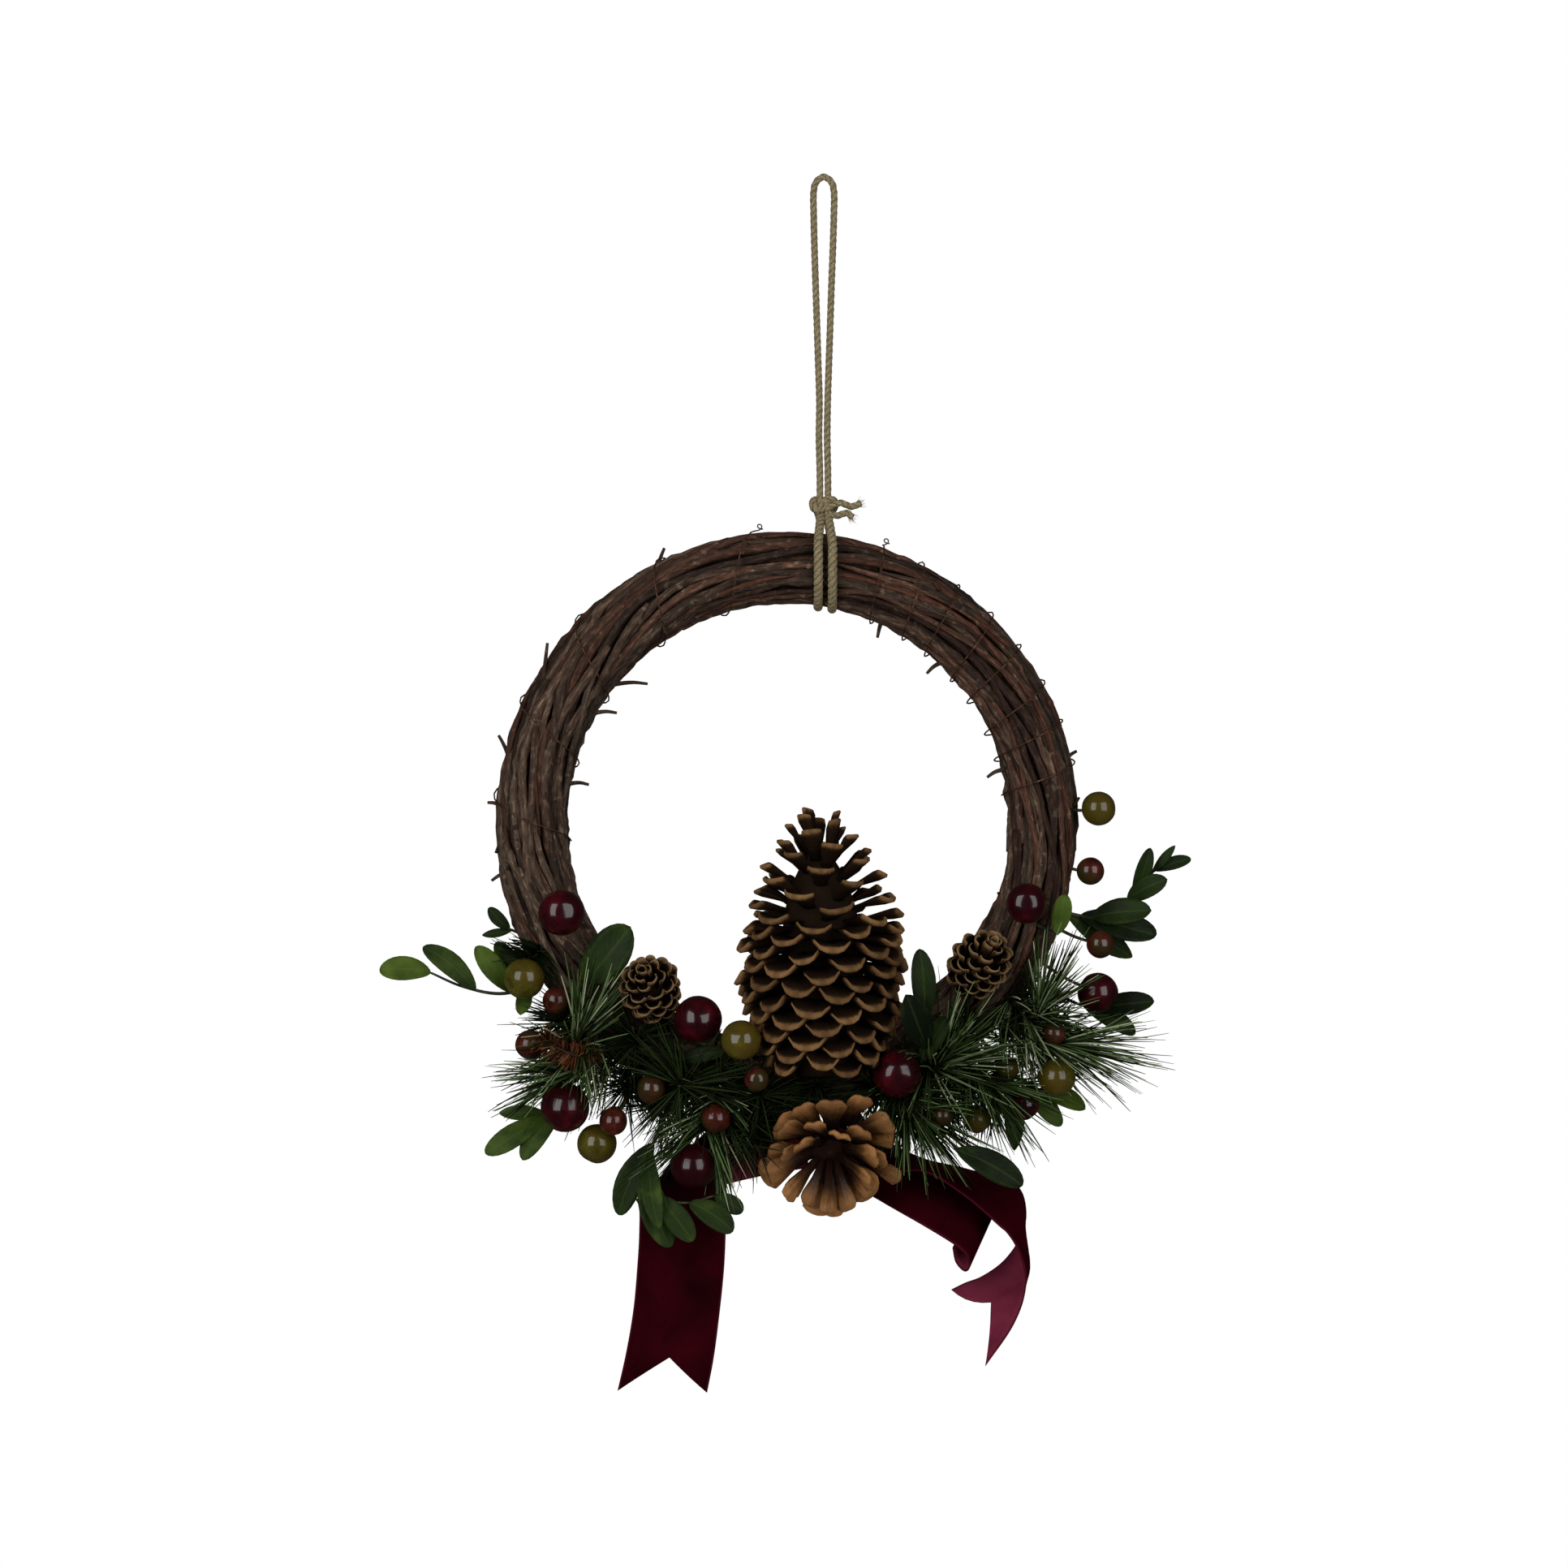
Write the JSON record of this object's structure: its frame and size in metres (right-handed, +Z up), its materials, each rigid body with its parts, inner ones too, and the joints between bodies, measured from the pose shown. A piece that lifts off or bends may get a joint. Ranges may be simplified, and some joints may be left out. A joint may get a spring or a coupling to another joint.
{
  "type": "pinecone wreath",
  "caption": "Round wreath of wired twigs that hangs by a loop of twine, its lower half dressed with pine cones, needle sprays, leafy sprigs, berries and a velvet ribbon.",
  "frame": {"origin": "the point where the twine loop bears on its hook", "axes": "+Z up, +X to the right as seen from the front, -Y towards the viewer"},
  "size_m": [0.351, 0.0845, 0.5265],
  "materials": {
    "twig_bark": "rough bark, dark grey brown to red brown",
    "rusty_wire": "thin wire with a film of rust",
    "jute_twine": "twisted jute",
    "dark_cone": "matte scales, dark brown with tan ends",
    "golden_cone": "matte golden tan scales",
    "brown_cone": "thin brown scales",
    "velvet": "burgundy velvet",
    "red_berry": "dark red lacquer",
    "olive_berry": "olive green lacquer",
    "brown_berry": "brown lacquer",
    "leaf_green": "satin leaves, dark green",
    "pine_green": "satin needles, mid green",
    "rust_brown": "matte bristles, rust brown"
  },
  "bodies": {
    "root": {"twig_ring": "twig_bark", "binding_wire_right": "rusty_wire", "binding_wire_left": "rusty_wire", "twine_binding": "jute_twine", "hanging_twine": "jute_twine", "large_pinecone": "dark_cone", "front_pinecone": "golden_cone", "small_cone_left": "brown_cone", "small_cone_right": "brown_cone", "ribbon_left_tail": "velvet", "ribbon_right_tail": "velvet", "ribbon_loop": "velvet", "red_berry_1": "red_berry", "red_berry_2": "red_berry", "red_berry_3": "red_berry", "red_berry_4": "red_berry", "red_berry_5": "red_berry", "red_berry_6": "red_berry", "red_berry_7": "red_berry", "red_berry_8": "red_berry", "olive_berry_1": "olive_berry", "olive_berry_2": "olive_berry", "olive_berry_3": "olive_berry", "olive_berry_4": "olive_berry", "olive_berry_5": "olive_berry", "olive_berry_6": "olive_berry", "olive_berry_7": "olive_berry", "brown_berry_1": "brown_berry", "brown_berry_2": "brown_berry", "brown_berry_3": "brown_berry", "brown_berry_4": "brown_berry", "brown_berry_5": "brown_berry", "brown_berry_6": "brown_berry", "brown_berry_7": "brown_berry", "brown_berry_8": "brown_berry", "brown_berry_9": "brown_berry", "brown_berry_10": "brown_berry", "leafy_sprig_left": "leaf_green", "leafy_sprig_left_top": "leaf_green", "leafy_sprig_lower_left": "leaf_green", "oval_leaf_left": "leaf_green", "dark_leaf_centre": "leaf_green", "leafy_sprig_bottom": "leaf_green", "leafy_sprig_inner_right": "leaf_green", "small_leaf_right": "leaf_green", "leafy_sprig_upper_right": "leaf_green", "leafy_pair_right": "leaf_green", "leafy_sprig_lower_right": "leaf_green", "long_leaf_lower_right": "leaf_green", "needles_left_upper": "pine_green", "needles_left_lower": "pine_green", "needles_centre": "pine_green", "needles_centre_lower": "pine_green", "needles_right_inner": "pine_green", "needles_right_upper": "pine_green", "needles_right_outer": "pine_green", "needles_right_middle": "pine_green", "needles_right_lower": "pine_green", "rust_sprig": "rust_brown"}
  },
  "joints": []
}
